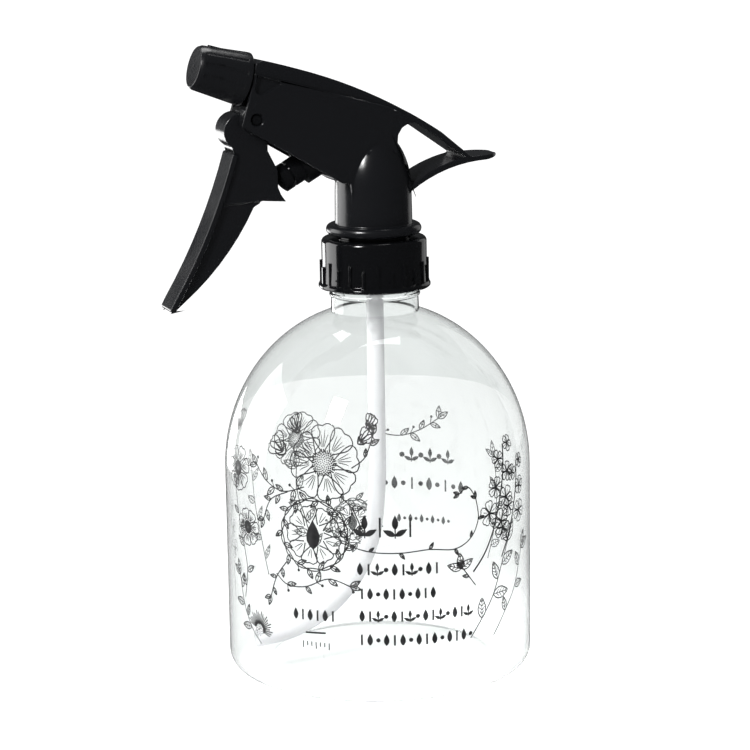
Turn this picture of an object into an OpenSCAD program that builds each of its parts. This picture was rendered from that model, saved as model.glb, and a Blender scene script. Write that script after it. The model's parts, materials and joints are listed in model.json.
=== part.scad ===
// Hand mister: a domed clear bottle with a trigger sprayer head.
// Origin: bottle axis on the face it stands on. +Z up, nozzle towards -X.

/* [Bottle] */
// Radius of the bottle body
bottle_r = 44; // [40:0.5:46]
// Height where the straight side ends and the dome begins
dome_z = 59.2; // [55:0.1:62]
// Height of the dome's ellipse
dome_h = 47; // [46:0.5:48]
// Radius of the neck
neck_r = 12.6; // [12.4:0.1:12.7]
// Height of the top of the neck
neck_top = 119.5; // [119.3:0.1:119.5]
// Wall of the bottle
bottle_wall = 1.1; // [0.9:0.1:1.3]
// Radius of the heel
heel_r = 5; // [4:0.5:7]

/* [Collar] */
// Outer radius of the collar above its ribs
collar_r = 15; // [14.8:0.1:15.2]
// Number of grip ribs, long and short together
collar_ribs = 24; // [12:2:36]
// Screw pitch of the neck thread
neck_pitch = 4.23; // [4:0.01:4.4]

/* [Head] */
// Half the width of the housing
head_half = 7; // [6.8:0.1:7.2]
// Wall of the housing
head_wall = 1.5; // [1.4:0.1:1.6]
// Radius of the round neck of the housing
stem_r = 11; // [10.9:0.1:11.2]
// Slope of the discharge tube and the nozzle, in degrees
nozzle_tilt = 16; // [15:0.5:17]
// Slope of the pump cylinder, in degrees
pump_tilt = 29; // [28.5:0.5:29.5]

/* [Trigger] */
// Half the width of the plate under the fingers
plate_half = 4.9; // [4.4:0.1:5]
// Half the width of the rib behind that plate
rib_half = 3.7; // [3:0.1:4]
// Half the width of the upper part
web_half = 4.2; // [4:0.1:4.6]
// Radius of the pin that it swings on
pin_r = 1.3; // [1.2:0.05:1.35]

/* [Nozzle] */
// Radius of the cap at its rear
cap_r = 7.5; // [7.3:0.1:7.7]
// Radius of the cap's front face
cap_face_r = 5.7; // [5.5:0.1:6]
// Length of the cap
cap_len = 14.9; // [14.6:0.1:15.2]

/* [Hidden] */
$fn = 96;

// Materials' colours
clear = [0.86, 0.89, 0.88, 0.35];
black = [0.05, 0.05, 0.06];
natural = [0.9, 0.9, 0.88, 0.7];
steel = [0.75, 0.76, 0.78];
rubbery = [0.25, 0.25, 0.27];

// Heights up the neck
gasket_t = 1.2;
flange_z = neck_top + gasket_t;
flange_t = 1.6;
collar_bottom = 111;
collar_top = 125.3;
ring_z = 126.2;
ring_t = 3;
ring_r = 13.6;
stem_straight_z = 139;
stem_dome_h = 17;

// Thread of the neck and the collar
thread_crest_r = 13.5;
collar_bore_r = 13.7;
collar_crest_r = 12.85;
thread_turns = 1.25;
thread_z = 112.9;

// Pump axis: a point on the trigger's face and the direction of the stroke
pump_x = -29.3;
pump_z = 142.3;
nose_r = 7;
nose_u = 7.72;
piston_r = 3.9;
bore_r = 4.3;
barrel_r = 5.2;
barrel_front = 8.4;
bore_end = 24.5;
cup_u = 12.6;
vent_u = 9.4;
spring_u = 10.2;

// Trigger pivot
pivot_x = -36.2;
pivot_z = 161;
hub_r = 4;
running = 0.06;

// Discharge tube and nozzle axis
nozzle_x = -37.1;
nozzle_z = 171.6;
discharge_r = 2.6;
discharge_bore = 1.2;
discharge_drop = 2;
boss_r = 5;
boss_len = 8.6;
cap_bore_r = 5.9;
nozzle_pitch = 3;

// Valve chamber over the dip tube
chamber_r = 4.9;
chamber_top_r = 3.5;
chamber_top = 161.6;
chamber_bore = 2.7;
plug_t = 0.8;
ball_r = 2;
inlet_seat_z = 134;
seat_bore = 1.4;
ball_rise = sqrt(ball_r * ball_r - seat_bore * seat_bore);
outlet_seat_z = 153;
tube_r = 2.5;
tube_bore = 1.75;

// Points along an arc that starts at p, heading a0 and ending at a1 degrees.
// A positive radius turns left and a negative one turns right.
function arc(p, a0, a1, r, n) =
    [for (i = [0:n]) let (a = a0 + (a1 - a0) * i / n)
        [p[0] + r * (sin(a) - sin(a0)), p[1] + r * (cos(a0) - cos(a))]];

// Extrudes an XZ outline from -half to +half along Y
module slab(half) {
    rotate([90, 0, 0]) linear_extrude(2 * half, center = true) children();
}

// Places children with +Z along the pump stroke, at distance u
module pump_frame(u = 0) {
    translate([pump_x, 0, pump_z]) rotate([0, 90 - pump_tilt, 0]) translate([0, 0, u]) children();
}

// Places children with +Z along the nozzle axis, forwards, at distance u
module nozzle_frame(u = 0) {
    translate([nozzle_x, 0, nozzle_z]) rotate([0, nozzle_tilt - 90, 0]) translate([0, 0, u]) children();
}

// Tube along Z
module tube(r_out, r_in, h) {
    difference() {
        cylinder(h = h, r = r_out);
        translate([0, 0, -1]) cylinder(h = h + 2, r = r_in);
    }
}

// One screw ridge from radius r_root to r_crest, tapering out at both ends
module thread(r_root, r_crest, pitch, turns, w_root, w_crest, steps = 24) {
    n = round(turns * steps);
    function fade(i) = min(1, 0.15 + i / 4, 0.15 + (n - i) / 4);
    points = [for (i = [0:n]) let (a = i * 360 / steps, z = pitch * i / steps,
                                   rc = r_root + (r_crest - r_root) * fade(i))
        each [for (q = [[r_root, -w_root / 2], [rc, -w_crest / 2], [rc, w_crest / 2], [r_root, w_root / 2]])
            [q[0] * cos(a), q[0] * sin(a), z + q[1]]]];
    inward = r_crest < r_root;
    ends = [[0, 1, 2, 3], [4 * n + 3, 4 * n + 2, 4 * n + 1, 4 * n]];
    walls = [for (i = [0:n - 1], k = [0:3]) let (a = 4 * i + k, b = 4 * i + (k + 1) % 4)
        each [[a, a + 4, b + 4], [a, b + 4, b]]];
    faces = concat(ends, walls);
    polyhedron(points, inward ? faces : [for (f = faces) [for (k = [len(f) - 1:-1:0]) f[k]]], convexity = 8);
}

// A coil spring along Z with closed, flattened ends
module coil(r, wire, h, turns, steps = 18, sides = 6) {
    n = round(turns * steps);
    function lift(i) = wire / 2 + (h - wire) * i / n;
    points = [for (i = [0:n]) let (a = i * 360 / steps)
        each [for (k = [0:sides - 1]) let (b = k * 360 / sides, q = r + wire / 2 * cos(b))
            [q * cos(a), q * sin(a), lift(i) + wire / 2 * sin(b)]]];
    ends = [[for (k = [sides - 1:-1:0]) k], [for (k = [0:sides - 1]) sides * n + k]];
    walls = [for (i = [0:n - 1], k = [0:sides - 1]) let (a = sides * i + k, b = sides * i + (k + 1) % sides)
        each [[a, b + sides, a + sides], [a, b, b + sides]]];
    polyhedron(points, concat(ends, walls), convexity = 8);
}

// Bottle outline from the push-up in the base to the top of the neck, drawn in by w
function bottle_edge(w) = let (end = acos((neck_r - w) / (bottle_r - w))) concat(
    [[0, 3 + w], [28, 2.2 + w], [33, w]],
    [for (a = [-90:15:0]) [bottle_r - heel_r + (heel_r - w) * cos(a), heel_r + (heel_r - w) * sin(a)]],
    [for (i = [0:20]) let (a = end * i / 20) [(bottle_r - w) * cos(a), dome_z + (dome_h - w) * sin(a)]]);

module bottle() {
    color(clear) {
        rotate_extrude() difference() {
            polygon(concat(bottle_edge(0), [[neck_r, neck_top], [0, neck_top]]));
            polygon(concat(bottle_edge(bottle_wall),
                           [[neck_r - bottle_wall, neck_top + 1], [0, neck_top + 1]]));
        }
        // support bead just under the collar
        translate([0, 0, 109]) rotate_extrude() translate([neck_r - 0.3, 0]) circle(r = 0.7, $fn = 24);
        translate([0, 0, thread_z])
            thread(neck_r - 0.3, thread_crest_r, neck_pitch, thread_turns, 1.9, 0.9);
    }
}

module gasket() {
    color(rubbery) translate([0, 0, neck_top]) tube(neck_r, 8.6, gasket_t);
}

module collar() {
    // short ribs start halfway between the long ones
    rib_step = 360 / collar_ribs;
    rib_phase = 13;
    long_top = 119;
    short_top = 117.4;
    color(black) {
        rotate_extrude() polygon(concat(
            [[collar_bore_r, collar_bottom], [15.6, collar_bottom], [16, 111.4], [16, 112], [15.6, 112.6],
             [15.2, 112.8], [collar_r, 118.5]],
            [for (a = [0:15:90]) [collar_r - 1.2 + 1.2 * cos(a), collar_top - 1.2 + 1.2 * sin(a)]],
            [[10.5, collar_top], [10.5, 122.5], [collar_bore_r, 122.5]]));
        translate([0, 0, thread_z + neck_pitch / 2])
            thread(collar_bore_r + 0.2, collar_crest_r, neck_pitch, thread_turns, 1.6, 0.8);
        for (i = [0:collar_ribs - 1])
            rotate(rib_phase + i * rib_step)
                translate([collar_r - 0.5, -0.4, 112])
                    cube([1.1, 0.8, (i % 2 == 0 ? long_top : short_top) - 112]);
    }
}

// Outer curves of the housing, seen from the side
top_curve = arc([-28, 175.6], -14.5, -34, -150, 12);
fin_under = arc([8.8, 138.2], 36, 0, -41, 8);
fin_over = arc([9.2, 140.2], 36, 11, -39.5, 8);
front_edge = [[-40.7, 159.3], [-38.5, 166.2], [-36, 176.3]];
under_edge = [[-9, 141.7], [-11.5, 141.9]];
window_left = [[5.7, 149.4], [5.1, 152.4], [5.3, 154.6], [6.5, 156.5], [8.8, 157.8], [10.8, 157.6]];

module side_outline() {
    difference() {
        polygon(concat(front_edge, [[-34.4, 177.2]], top_curve, [[27.4, 147.2], [36.4, 147.5], [36.9, 147], [36.5, 146.5]],
                       [for (k = [8:-1:0]) fin_under[k]], [[0, 136], [-8.8, 139]], under_edge));
        // window behind the thumb rest
        polygon(concat([for (k = [0:8]) fin_over[k]], [[25.4, 147.4]], [for (k = [5:-1:0]) window_left[k]]));
    }
}

// The proud cheek stops at a ridge under the top edge
module cheek_outline() {
    intersection() {
        side_outline();
        polygon([[-60, 180.6], [2.3, 162.9], [7, 160.6], [40, 160], [40, 100], [-60, 100]]);
    }
}

module stem_profile(w) {
    polygon(concat([[0, ring_z - w], [stem_r + 0.1 - w, ring_z - w], [stem_r - 0.1 - w, stem_straight_z]],
        [for (a = [7.5:7.5:67.5]) [(stem_r - 0.1 - w) * cos(a), stem_straight_z + (stem_dome_h - w) * sin(a)]],
        [[0, stem_straight_z + (stem_dome_h - w) * sin(67.5)]]));
}

module housing() {
    ridge = 0.5;
    color(black) difference() {
        union() {
            slab(head_half) cheek_outline();
            slab(head_half - ridge) side_outline();
            rotate_extrude() stem_profile(0);
            // rounded ring over the collar
            rotate_extrude() polygon(concat([[0, ring_z]],
                [for (a = [-90:15:90]) [ring_r - ring_t / 2 + ring_t / 2 * cos(a),
                                        ring_z + ring_t / 2 + ring_t / 2 * sin(a)]],
                [[0, ring_z + ring_t]]));
        }
        // hollow for the pump, open at the front and underneath
        slab(head_half - head_wall) polygon(concat([[-50, 148], [-50, 179.7]],
            [for (p = top_curve) if (p[0] < 3) p + [-0.5, -head_wall]],
            [[4, chamber_top], [3.9, 152.2], [5.2, 147.6], [6.2, 143], [6.2, 138], [-8.6, 138],
             [-9, 144], [-12, 144.4], [-16, 141]]));
        // bore of the stem
        translate([0, 0, 125]) cylinder(h = 17, r = 9.5);
        // pockets beside the nozzle
        for (s = [-1, 1]) translate([0, s * head_half, 0])
            slab(0.9) polygon([[-36.6, 169.4], [-36, 168.3], [-34.6, 167.8], [-33.4, 168.1],
                               [-29, 170.6], [-29.6, 171.3], [-35.4, 173]]);
        // rounded corners of the thumb rest
        translate([30.2, 0, 140]) difference() {
            translate([0, -10, 0]) cube([12, 20, 9]);
            translate([0, 0, -1]) cylinder(h = 11, r = 7);
        }
        // pin holes with a wider mouth on each side
        translate([pivot_x, 0, pivot_z]) rotate([90, 0, 0]) {
            cylinder(h = 30, r = pin_r, center = true);
            for (s = [-1, 1]) translate([0, 0, s * head_half]) cylinder(h = 1.6, r = 1.8, center = true);
        }
    }
}

module pump_body() {
    color(black) difference() {
        union() {
            // flange under the collar and plug in the stem
            translate([0, 0, flange_z]) cylinder(h = flange_t, r = neck_r);
            translate([0, 0, flange_z]) cylinder(h = ring_z - flange_z, r = 10.2);
            translate([0, 0, flange_z]) cylinder(h = 141.5 - flange_z, r = 9.4);
            translate([0, 0, 130]) cylinder(h = 16.5, r = chamber_r);
            translate([0, 0, 140]) cylinder(h = chamber_top - 140, r = chamber_top_r);
            pump_frame(barrel_front) cylinder(h = bore_end - barrel_front + 1.3, r = barrel_r);
            nozzle_frame(-40) translate([-discharge_drop, 0, 0]) cylinder(h = 41, r = discharge_r);
            nozzle_frame(-4) cylinder(h = 5, r = 4.2);
            nozzle_frame(0.4) cylinder(h = boss_len - 0.4, r = boss_r);
            // web that ties the barrel to the tube
            slab(1) polygon([[-20, 152], [-20, 168], [-4, 163], [0, 160], [0, 142], [-8, 146]]);
        }
        // annular core-out of the plug
        translate([0, 0, flange_z + 2.4]) tube(8, 6, 19);
        // inlet socket, chamber and their seats
        translate([0, 0, flange_z - 1]) cylinder(h = inlet_seat_z - flange_z + 1, r = 4.2);
        translate([0, 0, inlet_seat_z - 0.5]) cylinder(h = outlet_seat_z - inlet_seat_z - 1, r = chamber_bore);
        translate([0, 0, outlet_seat_z - 2]) cylinder(h = 3, r = seat_bore);
        translate([0, 0, outlet_seat_z]) cylinder(h = 12, r = chamber_bore);
        pump_frame(barrel_front - 1) cylinder(h = bore_end - barrel_front + 1, r = bore_r);
        // port from the end of the barrel to the space between the two balls
        translate([-7.4, 0, outlet_seat_z - 2.4]) rotate([0, 90, 0]) cylinder(h = 6, r = 0.9);
        // discharge bore, and the socket for the insert's post
        nozzle_frame(-38) translate([-discharge_drop, 0, 0]) cylinder(h = 42.2, r = discharge_bore);
        nozzle_frame(boss_len - 5.6) cylinder(h = 8, r = 1.6);
        // vent beside the socket
        translate([7, 0, flange_z - 1]) cylinder(h = 6, r = 0.7);
    }
    // nozzle thread
    color(black) nozzle_frame(3) thread(boss_r - 0.2, boss_r + 0.6, nozzle_pitch, 1.25, 1.1, 0.5);
}

module tube_holder() {
    color(natural) difference() {
        union() {
            translate([0, 0, 113]) cylinder(h = flange_z - 113, r = 4.2);
            translate([0, 0, flange_z]) cylinder(h = inlet_seat_z - flange_z, r = 4.15);
            translate([0, 0, flange_z - 1.1]) cylinder(h = 1.1, r = 6.4);
        }
        translate([0, 0, 112]) cylinder(h = 17, r = tube_r);
        translate([0, 0, 120]) cylinder(h = 20, r = seat_bore);
    }
}

// Stations [x, z, lean] along a downward bend from p, leaning forwards from a0 to a1 degrees
function bend(p, a0, a1, r, n) = [for (i = [1:n]) let (a = a0 + (a1 - a0) * i / n)
    [p[0] - r * (cos(a0) - cos(a)), p[1] - r * (sin(a) - sin(a0)), a]];

// The dip tube hangs straight, leans slightly, then sweeps to the front of the base
module dip_tube() {
    tube_top = 128.8;
    lean = bend([0, 60], 0, 8, 130, 2);
    sweep = bend(lean[1], 8, 85, 36, 11);
    tip = sweep[10];
    route = concat([[0, tube_top, 0], [0, 60, 0]], lean, sweep,
                   [[tip[0] - 4 * sin(tip[2]), tip[1] - 4 * cos(tip[2]), tip[2]]]);
    sides = 20;
    n = len(route) - 1;
    function ring(s, r) = [for (k = [0:sides - 1]) let (b = k * 360 / sides)
        [s[0] + r * cos(b) * cos(s[2]), r * sin(b), s[1] - r * cos(b) * sin(s[2])]];
    points = concat([for (s = route) each ring(s, tube_r)], [for (s = route) each ring(s, tube_bore)]);
    inner = len(route) * sides;
    function wall(base, i, k) = let (a = base + i * sides + k, b = base + i * sides + (k + 1) % sides)
        [a, b, b + sides, a + sides];
    function flip(f) = [for (k = [len(f) - 1:-1:0]) f[k]];
    outside = [for (i = [0:n - 1], k = [0:sides - 1]) wall(0, i, k)];
    inside = [for (i = [0:n - 1], k = [0:sides - 1]) flip(wall(inner, i, k))];
    rims = [for (k = [0:sides - 1]) let (j = (k + 1) % sides, e = n * sides)
        each [[j, k, inner + k, inner + j], [e + k, e + j, inner + e + j, inner + e + k]]];
    color(natural) polyhedron(points, concat(outside, inside, rims), convexity = 10);
}

module inlet_ball() {
    color(steel) translate([0, 0, inlet_seat_z + ball_rise]) sphere(r = ball_r);
}

module outlet_ball() {
    color(steel) translate([0, 0, outlet_seat_z + ball_rise]) sphere(r = ball_r);
}

module outlet_spring() {
    low = outlet_seat_z + ball_rise + 1.5;
    color(steel) translate([0, 0, low]) coil(1.5, 0.4, chamber_top - plug_t - low, 4, 14, 6);
}

module chamber_plug() {
    color(black) translate([0, 0, chamber_top - plug_t]) cylinder(h = plug_t, r = chamber_bore - 0.02);
}

module trigger() {
    front = arc([-42.7, 151.8], -106.5, -122, -162, 8);
    back = arc([-60.8, 108.7], 35, 63, 76, 8);
    pad_x = -29.6;
    color(black) difference() {
        union() {
            slab(plate_half) polygon(concat(front, [[-62, 109.5], [-61.6, 108.7], [-60.4, 108.9]],
                                            [for (i = [7:-1:0]) front[i] + [1.5, -0.5]]));
            slab(rib_half) polygon(concat(front, [[-62, 109.5], [-61.6, 108.7]], back,
                                          [[-34.9, 137.4], [-31, 146]]));
            slab(web_half) union() {
                polygon([[-42.7, 153.6], [-42.3, 151.8], [-44.3, 145], [-46.4, 139], [-46, 137.5],
                         [-34.4, 138.1], [-27.3, 137.5], [-28, 138.4], [-28.8, 139.6], [pad_x, 141.6],
                         [pad_x, 146.4], [-32.4, 152], [-32.3, 160]]);
                translate([-40, 157.8]) circle(r = 5);
            }
            translate([pivot_x, 0, pivot_z]) rotate([90, 0, 0]) cylinder(h = 10.6, r = hub_r, center = true);
        }
        translate([pivot_x, 0, pivot_z]) rotate([90, 0, 0]) cylinder(h = 20, r = pin_r + running, center = true);
    }
}

module pivot_pin() {
    color(black) translate([pivot_x, 0, pivot_z]) rotate([90, 0, 0])
        cylinder(h = 2 * head_half - 1, r = pin_r, center = true);
}

module piston() {
    color(black) difference() {
        union() {
            // the shallow dome that the trigger pushes on
            intersection() {
                pump_frame(nose_u) sphere(r = nose_r);
                pump_frame(0) cylinder(h = 4.4, r = piston_r);
            }
            pump_frame(4.2) cylinder(h = 15.4 - 4.2, r = 3.2);
            pump_frame(5) cylinder(h = vent_u - 5, r = piston_r);
            pump_frame(vent_u + 1.2) cylinder(h = cup_u - vent_u - 1.2, r = piston_r);
        }
        pump_frame(spring_u) cylinder(h = 20, r = 2.5);
    }
}

module piston_cup() {
    color(rubbery) pump_frame(cup_u) difference() {
        cylinder(h = 2.8, r = bore_r - 0.05);
        translate([0, 0, -1]) cylinder(h = 5, r = 3.2);
    }
}

module vent_cup() {
    color(rubbery) pump_frame(vent_u) tube(bore_r - 0.05, 3.2, 1.2);
}

module return_spring() {
    color(steel) pump_frame(spring_u) coil(1.9, 0.7, bore_end - spring_u, 8);
}

module swirl_insert() {
    // three slots feed the orifice from the side
    color(natural) nozzle_frame(boss_len) difference() {
        union() {
            cylinder(h = 1, r = 3.4);
            translate([0, 0, -4]) cylinder(h = 4.4, r = 1.55);
            cylinder(h = 3.6, r = 2);
        }
        for (a = [0:120:240]) rotate(a) translate([0.9, -0.3, 2.8]) cube([2, 0.6, 1]);
        translate([0, 0, -5]) cylinder(h = 6.2, r = 0.8);
    }
}

module nozzle_cap() {
    // shallow flutes run along the cap, with a raised pad on top
    taper = (cap_r - cap_face_r - 0.6) / (cap_len - 1);
    color(black) {
        nozzle_frame(0.5) difference() {
            union() {
                rotate_extrude() polygon([[0, 0], [cap_r, 0], [cap_r, 1], [cap_face_r + 0.6, cap_len - 1.1],
                                          [cap_face_r, cap_len], [0, cap_len]]);
                translate([0, -2.2, 1.2]) cube([cap_face_r + 1.1, 4.4, cap_len - 4]);
            }
            translate([0, 0, -1]) cylinder(h = 12.5, r = cap_bore_r);
            translate([0, 0, 11]) cylinder(h = 1.4, r = 2.3);
            cylinder(h = 30, r = 0.4);
            for (a = [0:30:330]) rotate(a + 15)
                translate([cap_r + 0.35, 0, 1.5]) rotate([0, -atan(taper), 0]) cylinder(h = 12, r = 0.6, $fn = 24);
        }
        nozzle_frame(3 + nozzle_pitch / 2) thread(cap_bore_r + 0.2, cap_bore_r - 0.6, nozzle_pitch, 1.25, 1.1, 0.5);
    }
}

module nozzle_seal() {
    color(rubbery) nozzle_frame(boss_len + 1.2) tube(cap_bore_r - 0.1, 3.6, 1);
}

bottle();
gasket();
collar();
housing();
pump_body();
tube_holder();
dip_tube();
inlet_ball();
outlet_ball();
outlet_spring();
chamber_plug();
trigger();
pivot_pin();
piston();
piston_cup();
vent_cup();
return_spring();
swirl_insert();
nozzle_cap();
nozzle_seal();
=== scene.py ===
import bpy
import bmesh
import json
import math
import random
from mathutils import Matrix, Vector


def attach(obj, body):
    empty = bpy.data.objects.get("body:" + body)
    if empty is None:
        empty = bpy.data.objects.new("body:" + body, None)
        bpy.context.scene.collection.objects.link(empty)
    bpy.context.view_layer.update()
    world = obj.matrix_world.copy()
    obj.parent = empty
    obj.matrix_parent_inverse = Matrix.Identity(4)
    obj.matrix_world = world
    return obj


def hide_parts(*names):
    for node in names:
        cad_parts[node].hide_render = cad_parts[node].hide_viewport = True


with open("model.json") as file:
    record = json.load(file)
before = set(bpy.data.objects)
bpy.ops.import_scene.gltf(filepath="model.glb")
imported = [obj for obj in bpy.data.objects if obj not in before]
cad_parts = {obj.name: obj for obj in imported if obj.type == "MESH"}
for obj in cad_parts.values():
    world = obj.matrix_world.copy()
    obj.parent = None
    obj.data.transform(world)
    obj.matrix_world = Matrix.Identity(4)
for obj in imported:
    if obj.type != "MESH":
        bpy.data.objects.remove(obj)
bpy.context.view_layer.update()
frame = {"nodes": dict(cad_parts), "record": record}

mm = 0.001
scene = bpy.context.scene

cameraPlan = {"turn": 20.5, "rise": 11.9, "distance": 776.5, "aimHeight": 84.95, "lens": 129.7, "roll": -0.91,
              "shiftX": -0.0014}


def placeCamera(plan):
    turn, rise = math.radians(plan["turn"]), math.radians(plan["rise"])
    aim = Vector((0, 0, plan["aimHeight"])) * mm
    back = Vector((-math.sin(turn) * math.cos(rise), -math.cos(turn) * math.cos(rise), math.sin(rise)))
    cam = bpy.data.objects.new("productCamera", bpy.data.cameras.new("productCamera"))
    scene.collection.objects.link(cam)
    cam.location = aim + back * plan["distance"] * mm
    look = (-back).to_track_quat("-Z", "Y")
    cam.rotation_euler = (look.to_matrix() @ Matrix.Rotation(math.radians(plan["roll"]), 3, "Z")).to_euler()
    cam.data.lens = plan["lens"]
    cam.data.sensor_width = 36
    cam.data.shift_x = plan["shiftX"]
    cam.data.clip_start = 0.01
    scene.camera = cam


studioPlan = {"backdrop": 1.15, "throughClear": 1.0, "seenInPlastic": 0.05, "ambient": 0.5, "floorRadius": 0.42,
              "floorSides": 96, "aimHeight": 110,
              "leftBox": {"at": (-600, 500, 240), "size": (560, 580), "power": 3.2},
              "lowCard": {"at": (-170, 560, 12), "size": (190, 160), "power": 0.5},
              "windowBox": {"at": (-560, -330, 620), "size": (170, 260), "power": 6.0},
              "rightFill": {"at": (720, 420, 260), "size": (420, 600), "power": 0.4},
              "topBox": {"at": (60, 300, 900), "size": (500, 400), "power": 3.0}}


def softbox(name, plan):
    light = bpy.data.lights.new(name, "AREA")
    light.shape = "RECTANGLE"
    light.size, light.size_y = plan["size"][0] * mm, plan["size"][1] * mm
    light.energy = plan["power"]
    obj = bpy.data.objects.new(name, light)
    obj.location = Vector(plan["at"]) * mm
    towards = Vector((0, 0, studioPlan["aimHeight"])) * mm - obj.location
    obj.rotation_euler = towards.to_track_quat("-Z", "Y").to_euler()
    obj.visible_camera = False
    obj.visible_transmission = False
    scene.collection.objects.link(obj)


def backdrop(tree, tint, strength):
    node = tree.nodes.new("ShaderNodeBackground")
    node.inputs["Color"].default_value = tint
    node.inputs["Strength"].default_value = strength
    return node


def buildStudio(plan):
    world = bpy.data.worlds.new("studio")
    world.use_nodes = True
    tree = world.node_tree
    tree.nodes.clear()
    out = tree.nodes.new("ShaderNodeOutputWorld")
    path = tree.nodes.new("ShaderNodeLightPath")
    last = backdrop(tree, (1, 1, 1, 1), plan["ambient"])
    layers = (("Is Camera Ray", (1, 1, 1, 1), "backdrop"), ("Is Glossy Ray", (0.93, 0.96, 1, 1), "seenInPlastic"),
              ("Is Transmission Ray", (0.985, 1, 0.995, 1), "throughClear"))
    for test, tint, key in layers:
        mix = tree.nodes.new("ShaderNodeMixShader")
        tree.links.new(path.outputs[test], mix.inputs[0])
        tree.links.new(last.outputs[0], mix.inputs[1])
        tree.links.new(backdrop(tree, tint, plan[key]).outputs[0], mix.inputs[2])
        last = mix
    tree.links.new(last.outputs[0], out.inputs[0])
    scene.world = world
    for key in ("leftBox", "lowCard", "windowBox", "rightFill", "topBox"):
        softbox(key, plan[key])
    bm = bmesh.new()
    bmesh.ops.create_circle(bm, cap_ends=True, radius=plan["floorRadius"], segments=plan["floorSides"])
    floor = meshObject("floor", bm, paleFloor())
    floor.visible_glossy = False


def newMaterial(name):
    mat = bpy.data.materials.new(name)
    mat.use_nodes = True
    tree = mat.node_tree
    return mat, tree, tree.nodes["Principled BSDF"]


def addGrain(tree, shader, spec):
    coords = tree.nodes.new("ShaderNodeTexCoord")  # fine bump, and a slow change of roughness
    fine = tree.nodes.new("ShaderNodeTexNoise")
    fine.inputs["Scale"].default_value = spec["grainScale"]
    fine.inputs["Detail"].default_value = spec.get("grainDetail", 3.0)
    tree.links.new(coords.outputs["Object"], fine.inputs["Vector"])
    bump = tree.nodes.new("ShaderNodeBump")
    bump.inputs["Strength"].default_value = spec["grainStrength"]
    bump.inputs["Distance"].default_value = spec["grainDepth"] * mm
    tree.links.new(fine.outputs["Fac"], bump.inputs["Height"])
    tree.links.new(bump.outputs["Normal"], shader.inputs["Normal"])
    slow = tree.nodes.new("ShaderNodeTexNoise")
    slow.inputs["Scale"].default_value = spec["patchScale"]
    slow.inputs["Detail"].default_value = 2.0
    tree.links.new(coords.outputs["Object"], slow.inputs["Vector"])
    span = tree.nodes.new("ShaderNodeMapRange")
    span.inputs["From Min"].default_value = 0.3
    span.inputs["From Max"].default_value = 0.7
    span.inputs["To Min"].default_value = spec["roughLow"]
    span.inputs["To Max"].default_value = spec["roughHigh"]
    tree.links.new(slow.outputs["Fac"], span.inputs["Value"])
    tree.links.new(span.outputs["Result"], shader.inputs["Roughness"])


def satinBlack():
    spec = {"grainScale": 900, "grainStrength": 0.25, "grainDepth": 0.05, "patchScale": 60,
            "roughLow": 0.17, "roughHigh": 0.25}
    mat, tree, shader = newMaterial("satinBlack")
    shader.inputs["Base Color"].default_value = (0.0062, 0.0066, 0.0078, 1)
    shader.inputs["Specular IOR Level"].default_value = 0.5
    addGrain(tree, shader, spec)
    return mat


def polishedBlack():
    spec = {"grainScale": 160, "grainStrength": 0.12, "grainDepth": 0.05, "patchScale": 40,
            "roughLow": 0.06, "roughHigh": 0.12}
    mat, tree, shader = newMaterial("polishedBlack")
    shader.inputs["Base Color"].default_value = (0.003, 0.0032, 0.0038, 1)
    shader.inputs["Specular IOR Level"].default_value = 0.55
    addGrain(tree, shader, spec)
    return mat


def clearBottlePlastic():
    spec = {"grainScale": 28, "grainStrength": 0.10, "grainDepth": 0.5, "grainDetail": 1.5, "patchScale": 20,
            "roughLow": 0.0, "roughHigh": 0.015}
    mat, tree, shader = newMaterial("clearBottlePlastic")
    shader.inputs["Base Color"].default_value = (0.885, 0.90, 0.895, 1)
    shader.inputs["Transmission Weight"].default_value = 1.0
    shader.inputs["IOR"].default_value = 1.5
    addGrain(tree, shader, spec)
    return mat


def milkyTubePlastic():
    spec = {"grainScale": 300, "grainStrength": 0.08, "grainDepth": 0.05, "patchScale": 50,
            "roughLow": 0.08, "roughHigh": 0.16}
    mat, tree, shader = newMaterial("milkyTubePlastic")
    shader.inputs["Base Color"].default_value = (0.985, 0.98, 0.995, 1)
    shader.inputs["Transmission Weight"].default_value = 0.55
    shader.inputs["IOR"].default_value = 1.45
    addGrain(tree, shader, spec)
    return mat


def darkElastomer():
    spec = {"grainScale": 500, "grainStrength": 0.2, "grainDepth": 0.05, "patchScale": 60,
            "roughLow": 0.5, "roughHigh": 0.7}
    mat, tree, shader = newMaterial("darkElastomer")
    shader.inputs["Base Color"].default_value = (0.03, 0.03, 0.032, 1)
    addGrain(tree, shader, spec)
    return mat


def brightSteel(name, low, high):
    spec = {"grainScale": 700, "grainStrength": 0.05, "grainDepth": 0.02, "patchScale": 90,
            "roughLow": low, "roughHigh": high}
    mat, tree, shader = newMaterial(name)
    shader.inputs["Base Color"].default_value = (0.62, 0.63, 0.65, 1)
    shader.inputs["Metallic"].default_value = 1.0
    addGrain(tree, shader, spec)
    return mat


def printingInk():
    mat, tree, shader = newMaterial("printingInk")
    coords = tree.nodes.new("ShaderNodeTexCoord")
    wear = tree.nodes.new("ShaderNodeTexNoise")
    wear.inputs["Scale"].default_value = 420
    wear.inputs["Detail"].default_value = 3
    tree.links.new(coords.outputs["Object"], wear.inputs["Vector"])
    ramp = tree.nodes.new("ShaderNodeValToRGB")
    ramp.color_ramp.elements[0].position = 0.35
    ramp.color_ramp.elements[0].color = (0.012, 0.012, 0.013, 1)
    ramp.color_ramp.elements[1].position = 0.75
    ramp.color_ramp.elements[1].color = (0.04, 0.04, 0.042, 1)
    tree.links.new(wear.outputs["Fac"], ramp.inputs["Fac"])
    tree.links.new(ramp.outputs["Color"], shader.inputs["Base Color"])
    shader.inputs["Roughness"].default_value = 0.45
    return mat


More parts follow.
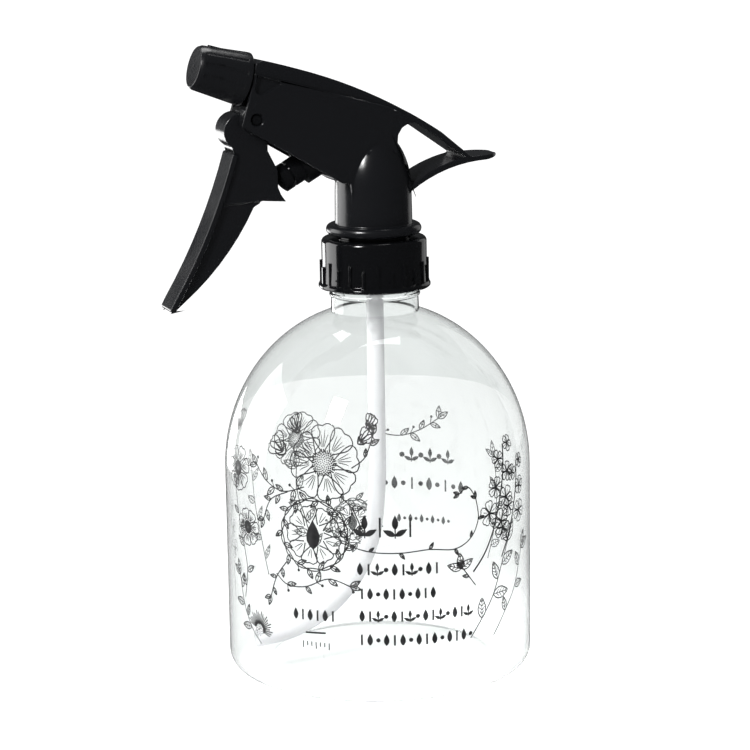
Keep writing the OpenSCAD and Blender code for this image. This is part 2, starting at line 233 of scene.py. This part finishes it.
def paleFloor():
    mat, tree, shader = newMaterial("paleFloor")
    shader.inputs["Base Color"].default_value = (0.74, 0.74, 0.74, 1)
    shader.inputs["Roughness"].default_value = 0.9
    shader.inputs["Emission Color"].default_value = (1, 1, 1, 1)
    shader.inputs["Emission Strength"].default_value = 0.32
    shader.inputs["Specular IOR Level"].default_value = 0.0
    return mat


def meshObject(name, bm, material, smoothAngle=None):
    if smoothAngle is not None:
        for face in bm.faces:
            face.smooth = True
        for edge in bm.edges:
            edge.smooth = len(edge.link_faces) == 2 and edge.calc_face_angle(3.2) < math.radians(smoothAngle)
    mesh = bpy.data.meshes.new(name)
    bm.to_mesh(mesh)
    bm.free()
    obj = bpy.data.objects.new(name, mesh)
    scene.collection.objects.link(obj)
    mesh.materials.append(material)
    return obj


def turned(bm, profile, steps):
    rings = []  # one ring per (radius, height) point of the outline, round the bottle axis
    for r, z in profile:
        if r < 1e-6:
            rings.append([bm.verts.new((0, 0, z * mm))])
        else:
            rings.append([bm.verts.new((r * mm * math.cos(2 * math.pi * k / steps),
                                        r * mm * math.sin(2 * math.pi * k / steps), z * mm)) for k in range(steps)])
    for a, b in zip(rings, rings[1:]):
        for k in range(steps):
            j = (k + 1) % steps
            if len(a) == 1 and len(b) == 1:
                continue
            if len(a) == 1:
                bm.faces.new((a[0], b[j], b[k]))
            elif len(b) == 1:
                bm.faces.new((a[k], a[j], b[0]))
            else:
                bm.faces.new((a[k], a[j], b[j], b[k]))


def mouldedCopy(name, source, material, spec):
    node = frame["nodes"][source]  # the frame's own solid, its edges rounded as a mould leaves them
    bm = bmesh.new()
    bm.from_mesh(node.data)
    bm.transform(node.matrix_world)
    bmesh.ops.remove_doubles(bm, verts=bm.verts, dist=2e-6)
    obj = meshObject(name, bm, material, spec["smooth"])
    edge = obj.modifiers.new("mouldEdge", "BEVEL")
    edge.width = spec["edge"] * mm
    edge.segments = 3
    edge.limit_method = "ANGLE"
    edge.angle_limit = math.radians(spec["smooth"])
    edge.use_clamp_overlap = False
    edge.loop_slide = False
    edge.harden_normals = True
    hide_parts(source)
    return obj


def latheProfileOfBottle(plan, inset):
    body, neck = plan["radius"] - inset, plan["neckRadius"] - inset
    heel, top, rise = plan["heel"], plan["domeStart"], plan["domeRise"] - inset
    points = [(0, 3 + inset), (14, 2.8 + inset), (28, 2.2 + inset), (31, 1.2 + inset), (33, inset + 0.15)]
    points += [(plan["radius"] - heel + (heel - inset) * math.cos(math.radians(a)),
                heel + (heel - inset) * math.sin(math.radians(a))) for a in range(-84, 1, 12)]
    points += [(body, z) for z in (20, 35, 50)]
    end = math.acos(neck / body)
    points += [(body * math.cos(end * i / 28), top + rise * math.sin(end * i / 28)) for i in range(29)]
    return points


bottlePlan = {"radius": 44.0, "neckRadius": 12.6, "neckTop": 119.5, "domeStart": 59.2, "domeRise": 47.0, "heel": 5.0,
              "wall": 0.8, "steps": 160, "threadStart": 112.9, "pitch": 4.23, "threadTurns": 2.2, "threadRise": 0.85,
              "threadSteps": 60, "threadFade": 8}


def buildBottle(plan, material):
    outer = latheProfileOfBottle(plan, 0)
    bead = [(plan["neckRadius"] + 0.65 * math.cos(math.radians(a)) - 0.25, 109 + 0.7 * math.sin(math.radians(a)))
            for a in range(-80, 81, 20)]
    lip = [(plan["neckRadius"], 110.5), (plan["neckRadius"], plan["neckTop"] - 0.4),
           (plan["neckRadius"] - 0.4, plan["neckTop"])]
    inner = [(plan["neckRadius"] - plan["wall"], plan["neckTop"] - 0.2)]
    inner += list(reversed(latheProfileOfBottle(plan, plan["wall"])))
    bm = bmesh.new()
    turned(bm, outer + bead + lip + inner, plan["steps"])
    bmesh.ops.recalc_face_normals(bm, faces=bm.faces)
    return meshObject("bottle_shell", bm, material, 50)


def screwRidge(name, plan, material):
    bm = bmesh.new()  # one continuous ridge round the neck, fading at both ends
    perTurn, fadeOver = plan["threadSteps"], plan["threadFade"]
    steps = int(plan["threadTurns"] * perTurn)
    rows = []
    for i in range(steps + 1):
        a = 2 * math.pi * i / perTurn
        z = plan["threadStart"] - 1.2 + plan["pitch"] * i / perTurn * 0.55
        fade = min(1, i / fadeOver + 0.05, (steps - i) / fadeOver + 0.05)
        section = [(-0.1, -0.8), (0.55 * fade, -0.45), (plan["threadRise"] * fade, 0), (0.55 * fade, 0.45),
                   (-0.1, 0.8)]
        rows.append([bm.verts.new(((plan["neckRadius"] + d) * math.cos(a) * mm,
                                   (plan["neckRadius"] + d) * math.sin(a) * mm, (z + h) * mm)) for d, h in section])
    for a, b in zip(rows, rows[1:]):
        for k in range(4):
            bm.faces.new((a[k], b[k], b[k + 1], a[k + 1]))
    bmesh.ops.recalc_face_normals(bm, faces=bm.faces)
    return meshObject(name, bm, material, 70)


tubePlan = {"top": 128.8, "radius": 2.5, "bore": 1.75, "straightEnd": 60.0, "leanRadius": 130.0, "leanTo": 8.0,
            "sweepRadius": 36.0, "sweepTo": 85.0, "stub": 4.0, "sides": 32}


def tubeStations(plan):
    stations = [(0, plan["top"] - d, 0.0) for d in (0, 10, 25, 45, 60)] + [(0, plan["straightEnd"], 0.0)]

    def bend(fromAngle, toAngle, radius, count):
        x0, z0, _ = stations[-1]
        a0 = math.radians(fromAngle)
        for i in range(1, count + 1):
            a = math.radians(fromAngle + (toAngle - fromAngle) * i / count)
            stations.append((x0 - radius * (math.cos(a0) - math.cos(a)),
                             z0 - radius * (math.sin(a) - math.sin(a0)), a))
    bend(0, plan["leanTo"], plan["leanRadius"], 4)
    bend(plan["leanTo"], plan["sweepTo"], plan["sweepRadius"], 24)
    x, z, a = stations[-1]
    stations.append((x - plan["stub"] * math.sin(a), z - plan["stub"] * math.cos(a), a))
    return stations


def buildDipTube(plan, material):
    bm = bmesh.new()
    walls = []
    sides = plan["sides"]
    for radius in (plan["radius"], plan["bore"]):
        rings = []
        for x, z, a in tubeStations(plan):
            ring = []
            for k in range(sides):
                b = 2 * math.pi * k / sides
                ring.append(bm.verts.new(((x + radius * math.cos(b) * math.cos(a)) * mm, radius * math.sin(b) * mm,
                                          (z - radius * math.cos(b) * math.sin(a)) * mm)))
            rings.append(ring)
        for p, q in zip(rings, rings[1:]):
            for k in range(sides):
                j = (k + 1) % sides
                bm.faces.new((p[k], p[j], q[j], q[k]))
        walls.append(rings)
    for end in (0, -1):
        for k in range(sides):
            j = (k + 1) % sides
            bm.faces.new((walls[0][end][k], walls[0][end][j], walls[1][end][j], walls[1][end][k]))
    bmesh.ops.recalc_face_normals(bm, faces=bm.faces)
    obj = meshObject("dip_tube_milky", bm, material, 50)
    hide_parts("dip_tube")
    return obj


inkPlan = {"line": 0.34, "fine": 0.24, "bold": 0.55, "lift": 0.05, "facing": 249.5, "seed": 11}


class InkSheet:  # collects strokes and lays them on the plastic
    def __init__(self, plan, bottle):
        self.plan, self.bottle = plan, bottle
        self.bm = bmesh.new()
        self.random = random.Random(plan["seed"])

    def surface(self, u, v):
        top, rise, wide = self.bottle["domeStart"], self.bottle["domeRise"], self.bottle["radius"]
        # u runs round the bottle in millimetres from the facing line, v is the height
        k = max(0.0, (v - top) / rise)
        r = wide * math.sqrt(max(0.0, 1 - k * k)) + self.plan["lift"]
        z = v + self.plan["lift"] * k
        a = math.radians(self.plan["facing"]) + u / wide
        return Vector((r * math.cos(a), r * math.sin(a), z)) * mm

    def smoothPath(self, points, closed=False, step=0.7):
        path = []
        n = len(points)
        count = n if closed else n - 1
        for i in range(count):
            p1, p2 = points[i], points[(i + 1) % n]
            p0 = points[(i - 1) % n] if closed or i > 0 else p1
            p3 = points[(i + 2) % n] if closed or i + 2 < n else p2
            length = math.hypot(p2[0] - p1[0], p2[1] - p1[1])
            parts = max(1, int(length / step))
            for s in range(parts):
                t = s / parts
                path.append(tuple(0.5 * (2 * p1[c] + (p2[c] - p0[c]) * t
                                         + (2 * p0[c] - 5 * p1[c] + 4 * p2[c] - p3[c]) * t * t
                                         + (3 * p1[c] - p0[c] - 3 * p2[c] + p3[c]) * t ** 3) for c in (0, 1)))
        if not closed:
            path.append(tuple(points[-1]))
        return path

    def stroke(self, points, width=None, closed=False, taper=False):
        width = width or self.plan["line"]
        path = self.smoothPath(points, closed)
        n = len(path)
        if n < 2:
            return
        left, right = [], []
        for i, (u, v) in enumerate(path):
            a = path[(i - 1) % n] if closed or i > 0 else path[i]
            b = path[(i + 1) % n] if closed or i + 1 < n else path[i]
            du, dv = b[0] - a[0], b[1] - a[1]
            size = math.hypot(du, dv) or 1.0
            half = width / 2
            if taper:
                half *= 0.35 + 0.65 * math.sin(math.pi * (i + 0.5) / n)
            nu, nv = -dv / size * half, du / size * half
            left.append(self.bm.verts.new(self.surface(u + nu, v + nv)))
            right.append(self.bm.verts.new(self.surface(u - nu, v - nv)))
        for i in range(n if closed else n - 1):
            j = (i + 1) % n
            self.bm.faces.new((right[i], right[j], left[j], left[i]))

    def dot(self, u, v, r):
        ring = [self.bm.verts.new(self.surface(u + r * math.cos(a), v + r * math.sin(a)))
                for a in (k * math.pi / 4 for k in range(8))]
        self.bm.faces.new(ring)

    def fill(self, points):
        n = len(points)
        cu, cv = sum(p[0] for p in points) / n, sum(p[1] for p in points) / n
        middle = self.bm.verts.new(self.surface(cu, cv))
        ring = [self.bm.verts.new(self.surface(*p)) for p in points]
        for i in range(n):
            self.bm.faces.new((middle, ring[i], ring[(i + 1) % n]))


def along(base, heading, forward, side=0.0):
    a = math.radians(heading)
    return (base[0] + forward * math.cos(a) - side * math.sin(a),
            base[1] + forward * math.sin(a) + side * math.cos(a))


def inkLeaf(sheet, base, heading, length, width, veins=3, solid=False):
    outline = [along(base, heading, length * t, width * 0.5 * math.sin(math.pi * t ** 0.8))
               for t in (0, 0.12, 0.3, 0.5, 0.7, 0.88, 1)]
    back = [along(base, heading, length * t, -width * 0.5 * math.sin(math.pi * t ** 0.8))
            for t in (0.88, 0.7, 0.5, 0.3, 0.12)]
    if solid:
        sheet.fill(outline + back)
        return
    sheet.stroke(outline + back, sheet.plan["line"], closed=True)
    sheet.stroke([base, along(base, heading, length * 0.92)], sheet.plan["fine"])
    for i in range(veins):
        t = (i + 1) / (veins + 1.2)
        reach = width * 0.36 * math.sin(math.pi * t ** 0.8)
        for s in (-1, 1):
            sheet.stroke([along(base, heading, length * t), along(base, heading, length * (t + 0.16), s * reach)],
                         sheet.plan["fine"])


def inkPetal(sheet, base, heading, length, width, lines=3):
    wave = sheet.random.uniform(-0.06, 0.06)
    shape = [(0.0, 0.10), (0.25, 0.52), (0.55, 0.92), (0.82, 1.0 + wave), (0.97, 0.55), (0.93, 0.08), (1.0, -0.35),
             (0.86, -0.95), (0.55, -0.94 - wave), (0.25, -0.5), (0.0, -0.10)]
    sheet.stroke([along(base, heading, length * f, width * 0.5 * s) for f, s in shape], sheet.plan["line"])
    for i in range(lines):
        s = (i - (lines - 1) / 2) * 0.42 / max(1, (lines - 1) / 2)
        reach = 0.82 - 0.2 * abs(s) - sheet.random.uniform(0, 0.18)
        sheet.stroke([along(base, heading, length * 0.16, width * 0.12 * s),
                      along(base, heading, length * 0.5, width * 0.42 * s),
                      along(base, heading, length * reach, width * 0.56 * s)], sheet.plan["fine"], taper=True)


flowerPlan = {"heart": 0.3, "petalWidth": 0.68, "seeds": 90, "seedTurn": 2.39996, "stamens": 36}


def inkOpenFlower(sheet, centre, radius, petals=8, turn=10.0):
    heart = radius * flowerPlan["heart"]
    for i in range(petals):
        heading = turn + 360 * i / petals + sheet.random.uniform(-5, 5)
        inkPetal(sheet, along(centre, heading, heart), heading, radius - heart,
                 radius * flowerPlan["petalWidth"], 4)
    for i in range(flowerPlan["seeds"]):
        reach = heart * math.sqrt((i + 0.5) / flowerPlan["seeds"])
        a = math.degrees(i * flowerPlan["seedTurn"])
        u, v = along(centre, a, reach)
        sheet.dot(u, v, 0.16 + 0.12 * (reach / heart))
    for i in range(flowerPlan["stamens"]):
        a = 360 * i / flowerPlan["stamens"]
        sheet.stroke([along(centre, a, heart * 0.95), along(centre, a + 3, heart * sheet.random.uniform(1.1, 1.3))],
                     sheet.plan["line"])


def inkBud(sheet, base, heading, size):
    for s in (-1, 0, 1):
        inkPetal(sheet, base, heading + 24 * s, size, size * 0.55, 1)
    for s in (-1, 1):
        sheet.stroke([along(base, heading, -size * 0.2), along(base, heading, size * 0.1, s * size * 0.28),
                      along(base, heading, size * 0.42, s * size * 0.3)], sheet.plan["bold"], taper=True)


def inkTwig(sheet, path, leafLength, spacing=3.2, veins=1, berries=False, leafWidth=0.42, tip=True):
    sheet.stroke(path, sheet.plan["line"])
    line = sheet.smoothPath(path, step=spacing)
    for i in range(1, len(line)):
        a, b = line[i - 1], line[i]
        heading = math.degrees(math.atan2(b[1] - a[1], b[0] - a[0]))
        side = 1 if i % 2 else -1
        lean = side * (48 + sheet.random.uniform(-10, 10))
        size = leafLength * sheet.random.uniform(0.8, 1.1)
        inkLeaf(sheet, b, heading + lean, size, size * leafWidth, veins)
        if berries and i % 2:
            spot = along(b, heading - lean, leafLength * 0.55)
            sheet.stroke([b, spot], sheet.plan["fine"])
            sheet.dot(spot[0], spot[1], 0.45)
    if tip:
        heading = math.degrees(math.atan2(line[-1][1] - line[-2][1], line[-1][0] - line[-2][0]))
        inkLeaf(sheet, line[-1], heading, leafLength, leafLength * leafWidth, veins)


def inkWreath(sheet, centre, radius):
    for phase, wobble in ((0, 0.35), (180, 0.5)):
        ring = [along(centre, a, radius + wobble * math.sin(math.radians(a * 7 + phase))) for a in range(0, 360, 12)]
        sheet.stroke(ring, sheet.plan["line"], closed=True)
    for a in range(0, 360, 20):
        out = 1 if (a // 20) % 2 else -1
        spot = along(centre, a, radius)
        inkLeaf(sheet, spot, a + 90 - out * 52, 3.1, 1.3, 1)
        if (a // 20) % 3 == 0:
            b = along(spot, a + 40, 1.9)
            sheet.stroke([spot, b], sheet.plan["fine"])
            sheet.dot(b[0], b[1], 0.42)
    for i in range(9):  # petals half hidden behind the ring
        inkPetal(sheet, along(centre, 20 + 40 * i, radius * 0.34), 20 + 40 * i, radius * 0.5, radius * 0.5, 2)
    inkLeaf(sheet, along(centre, -90, radius * 0.42), 90, radius * 0.84, radius * 0.42, 4, solid=True)


def inkOrnamentRow(sheet, u0, u1, v, height, slope=0.0, pattern="leaf dot bar dot"):
    marks = pattern.split()  # a border row of small leaves, dots and bars
    step = height * 0.6
    count = int((u1 - u0) / step)
    for i in range(count + 1):
        u = u0 + step * i
        w = v + slope * (u - u0)
        mark = marks[i % len(marks)]
        if mark == "leaf":
            inkLeaf(sheet, (u, w - height * 0.42), 90, height * 0.9, height * 0.42, 0, solid=True)
        elif mark == "sprout":
            sheet.stroke([(u, w - height * 0.45), (u, w)], sheet.plan["line"])
            inkLeaf(sheet, (u, w - height * 0.1), 90, height * 0.6, height * 0.26, 0, solid=True)
            for s in (-1, 1):
                inkLeaf(sheet, (u, w - height * 0.35), 90 + 62 * s, height * 0.55, height * 0.24, 0, solid=True)
        elif mark == "bar":
            sheet.stroke([(u, w - height * 0.4), (u, w + height * 0.4)], sheet.plan["bold"])
        elif mark == "dot":
            sheet.dot(u, w, height * 0.17)


def inkSpike(sheet, path, floret, spacing=3.4):
    sheet.stroke(path, sheet.plan["bold"])  # the stem; florets sit left and right of its upper part
    line = sheet.smoothPath(path, step=spacing)
    n = len(line)
    for i in range(n // 3, n):
        size = floret * (1.15 - 0.55 * (i - n / 3) / (n * 0.67))
        side = 1 if i % 2 else -1
        spot = (line[i][0] + side * size * sheet.random.uniform(0.6, 1.2),
                line[i][1] + sheet.random.uniform(-0.8, 0.8))
        inkOpenFloret(sheet, spot, size)


def inkOpenFloret(sheet, centre, size):
    turn = sheet.random.uniform(0, 72)
    for k in range(5):
        inkPetal(sheet, along(centre, turn + 72 * k, size * 0.12), turn + 72 * k, size * 0.85, size * 0.75, 1)
    sheet.dot(centre[0], centre[1], size * 0.16)


def around(angle):
    return math.radians(angle - inkPlan["facing"]) * bottlePlan["radius"]  # millimetres from the facing line


def printFront(sheet):
    inkOpenFlower(sheet, (around(229.3), 69.0), 10.4, 8)
    buds = ((212, 71, 150, 6.0), (217, 77, 125, 4.6), (243, 75, 40, 4.2), (246, 79, 60, 3.4))
    for angle, height, heading, size in buds:
        inkBud(sheet, (around(angle), height), heading, size)
    inkTwig(sheet, [(around(222), 62), (around(213), 60), (around(205), 62), (around(199), 66)], 3.6, berries=True)
    inkTwig(sheet, [(around(240), 68), (around(245), 71), (around(248), 77)], 2.8)
    inkTwig(sheet, [(around(236), 60), (around(240), 57), (around(243), 52)], 3.0, berries=True)
    inkTwig(sheet, [(around(215), 60), (around(207), 57), (around(203), 51)], 3.2)
    inkWreath(sheet, (around(225.2), 48.6), 10.0)
    inkTwig(sheet, [(around(236), 47), (around(246), 44.6), (around(257), 44.0), (around(268), 44.4),
                    (around(278), 43.6), (around(285), 46), (around(288.5), 51), (around(287.4), 57)], 2.2,
            spacing=4.4, leafWidth=0.36)
    inkTwig(sheet, [(around(287.4), 57), (around(284), 60.5), (around(280), 59)], 2.0, spacing=2.2)
    inkTwig(sheet, [(around(209), 36), (around(214), 33.4), (around(222), 33.6), (around(231), 36.4),
                    (around(239), 34.6)], 3.2, spacing=3.4, berries=True)
    inkTwig(sheet, [(around(214), 40), (around(209), 35), (around(206), 29)], 3.0, spacing=3.0)
    # border rows, then a bar with graduation marks under it
    inkOrnamentRow(sheet, around(244.5), around(262), 51.6, 7.0, -0.03, "sprout bar")
    inkOrnamentRow(sheet, around(242.6), around(272), 39.6, 4.0, -0.03, "leaf bar sprout dot")
    inkOrnamentRow(sheet, around(243.2), around(271.8), 32.6, 3.7, -0.03, "bar leaf dot leaf")
    inkOrnamentRow(sheet, around(243.1), around(285.3), 26.2, 3.7, -0.03, "leaf bar sprout dot")
    inkOrnamentRow(sheet, around(242.9), around(286.1), 19.4, 3.8, -0.03, "bar leaf dot leaf")
    inkOrnamentRow(sheet, around(217.5), around(233.5), 25.4, 3.8, 0.03, "leaf bar")
    sheet.stroke([(around(221.5), 20.4), (around(229.5), 20.7)], sheet.plan["bold"])
    for i in range(7):
        u = around(220.5 + 1.7 * i)
        sheet.stroke([(u, 17.9), (u, 16.6 if i % 3 else 15.9)], sheet.plan["line"])


def printRight(sheet):
    inkSpike(sheet, [(around(286), 36), (around(292), 41), (around(297), 48), (around(301), 58),
                     (around(304), 70)], 3.4)
    inkSpike(sheet, [(around(301), 38), (around(307), 46), (around(311), 56), (around(312), 64)], 3.0)
    inkTwig(sheet, [(around(284.5), 17), (around(290), 22), (around(296), 28), (around(301), 36),
                    (around(305), 42)], 6.4, spacing=4.2, veins=4, leafWidth=0.5)
    inkTwig(sheet, [(around(296), 16), (around(303), 22), (around(310), 28), (around(316), 38)], 5.4,
            spacing=4.4, veins=3, leafWidth=0.5)
    for heading in (30, 95, 160):
        inkLeaf(sheet, (around(280.6), 37.6), heading, 4.6, 2.3, 3)
    inkTwig(sheet, [(around(287), 32), (around(284), 35), (around(281), 38)], 2.2, spacing=2.0)


def printLeft(sheet):
    inkOpenFlower(sheet, (around(186), 63), 6.4, 7, 20)
    inkOpenFlower(sheet, (around(193), 47), 5.4, 7, 5)
    inkTwig(sheet, [(around(190), 26), (around(192), 34), (around(190), 41), (around(186), 50),
                    (around(184), 57)], 4.2, spacing=3.6, veins=2)
    inkTwig(sheet, [(around(200), 14), (around(194), 18), (around(189), 24), (around(186), 32)], 4.6,
            spacing=3.4, veins=3)
    for i in range(22):  # thistle head
        heading = 70 + 8.5 * (i - 10)
        sheet.stroke([along((around(199), 18), heading, 1.6), along((around(199), 18), heading, 4.6 + 0.5 * (i % 3))],
                     sheet.plan["line"])
    for i in range(30):
        u, v = along((around(199), 18), i * 137.5, 1.9 * math.sqrt(i / 30))
        sheet.dot(u, v, 0.22)
    inkBud(sheet, (around(181), 74), 100, 5)


def printBack(sheet):
    inkTwig(sheet, [(around(74), 62), (around(68), 58), (around(60), 57), (around(52), 59), (around(44), 63)], 4.2,
            spacing=3.2, berries=True)
    inkOrnamentRow(sheet, around(40), around(60), 51.0, 5.0, 0.0, "sprout dot")
    inkOrnamentRow(sheet, around(34), around(70), 42.0, 4.6, 0.0, "leaf dot bar dot")
    inkOrnamentRow(sheet, around(40), around(62), 31.0, 3.0, 0.0, "dot leaf")
    inkOpenFlower(sheet, (around(104), 58), 8.6, 8, 25)
    inkTwig(sheet, [(around(96), 20), (around(100), 32), (around(104), 42), (around(104), 49)], 5.4,
            spacing=4.0, veins=3)
    inkTwig(sheet, [(around(120), 18), (around(124), 30), (around(128), 42), (around(130), 54)], 5.0,
            spacing=4.2, veins=3)
    inkTwig(sheet, [(around(20), 22), (around(16), 32), (around(14), 44), (around(16), 54)], 5.0,
            spacing=4.2, veins=3)
    inkSpike(sheet, [(around(150), 16), (around(152), 28), (around(156), 42), (around(158), 56)], 2.6)
    inkWreath(sheet, (around(80), 30), 7.0)


def buildPrint(material):
    sheet = InkSheet(inkPlan, bottlePlan)
    for part in (printFront, printRight, printLeft, printBack):
        part(sheet)
    return meshObject("printed_botanicals", sheet.bm, material)


print("camera and studio")
placeCamera(cameraPlan)
buildStudio(studioPlan)

print("finishes")
satin = satinBlack()
gloss = polishedBlack()
clear = clearBottlePlastic()
milky = milkyTubePlastic()
rubber = darkElastomer()
ballSteel = brightSteel("polishedBallSteel", 0.05, 0.1)
wireSteel = brightSteel("drawnWireSteel", 0.2, 0.3)
ink = printingInk()

print("bottle")
bottle = buildBottle(bottlePlan, clear)
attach(bottle, "bottle")
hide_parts("bottle")
bottle.visible_shadow = False
ridge = screwRidge("neck_screw", bottlePlan, clear)
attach(ridge, "bottle")
ridge.visible_shadow = False

print("print")
decoration = buildPrint(ink)
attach(decoration, "bottle")

print("head")
mouldings = {"housing": ("head_moulding", satin, "black_satin", {"edge": 0.32, "smooth": 32}),
             "trigger": ("trigger_moulding", satin, "black_satin", {"edge": 0.35, "smooth": 32}),
             "collar": ("ribbed_collar", gloss, "black_gloss", {"edge": 0.12, "smooth": 32}),
             "nozzle_cap": ("nozzle_cap_moulding", satin, "black_satin", {"edge": 0.18, "smooth": 32})}
bodyOf = {node: body for body, nodes in frame["record"]["behaviour"]["bodies"].items() for node in nodes}
for node, (name, material, slotName, spec) in mouldings.items():
    piece = mouldedCopy(name, node, material, spec)
    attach(piece, bodyOf[node])

tube = buildDipTube(tubePlan, milky)
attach(tube, "head")

print("inner parts")
finishes = {"gasket": rubber, "pump_body": gloss, "tube_holder": milky,
            "inlet_ball": ballSteel, "outlet_ball": ballSteel, "outlet_spring": wireSteel,
            "chamber_plug": gloss, "pivot_pin": gloss, "piston": gloss, "piston_cup": rubber,
            "vent_cup": rubber, "return_spring": wireSteel, "swirl_insert": milky, "nozzle_seal": rubber}
for node, material in finishes.items():
    mesh = frame["nodes"][node].data
    mesh.materials.clear()
    mesh.materials.append(material)

print("look")
scene.view_settings.view_transform = "Standard"
scene.view_settings.look = "None"
scene.view_settings.exposure = 0.0
